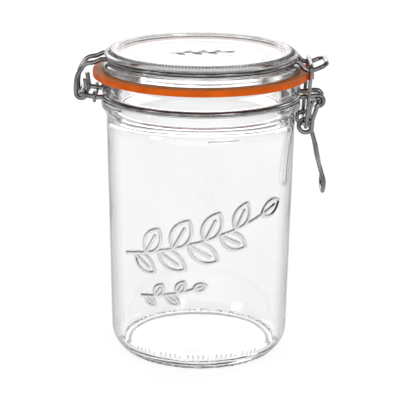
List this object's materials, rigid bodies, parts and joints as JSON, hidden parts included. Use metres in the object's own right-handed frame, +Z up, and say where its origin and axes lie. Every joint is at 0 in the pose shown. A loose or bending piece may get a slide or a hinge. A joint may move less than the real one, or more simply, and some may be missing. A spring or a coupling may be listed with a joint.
{
  "type": "bail clamp jar",
  "caption": "Glass storage and canning jar with a hinged glass lid, a flat rubber sealing ring and a wire toggle clamp that pulls the lid down.",
  "frame": {"origin": "centre of the base, in the plane that the jar stands on", "axes": "+Z up along the jar's axis, -X to the lid's hinge, +X to the latch"},
  "size_m": [0.1428, 0.122, 0.1752],
  "materials": {
    "glass": "clear pressed glass",
    "lid_glass": "clear pressed glass, knurled edge",
    "rubber": "orange natural rubber, matt",
    "wire": "bright drawn steel wire"
  },
  "bodies": {
    "jar": {"jar_body": "glass", "neck_wire": "wire", "hinge_tie_wire": "wire"},
    "lid": {"glass_lid": "lid_glass", "lid_wire": "wire", "rubber_gasket": "rubber"},
    "lever": {"lever_wire": "wire"},
    "link": {"latch_link": "wire"}
  },
  "joints": [
    {"name": "lid_hinge", "type": "hinge", "parent": "jar", "child": "lid", "pos_m": [-0.067, 0, 0.151], "axis": [0, -1, 0], "range_deg": [0, 195]},
    {"name": "lever_pivot", "type": "hinge", "parent": "jar", "child": "lever", "pos_m": [0.0658, 0, 0.1473], "axis": [0, -1, 0], "range_deg": [0, 150], "deforming": ["latch_link"]},
    {"name": "link_pivot", "type": "hinge", "parent": "lever", "child": "link", "pos_m": [0.0588, 0, 0.1336], "axis": [0, -1, 0], "range_deg": [-150, 0]}
  ],
  "couplings": [
    {"joint": "link_pivot", "follows": "lever_pivot", "ratio": -1}
  ]
}
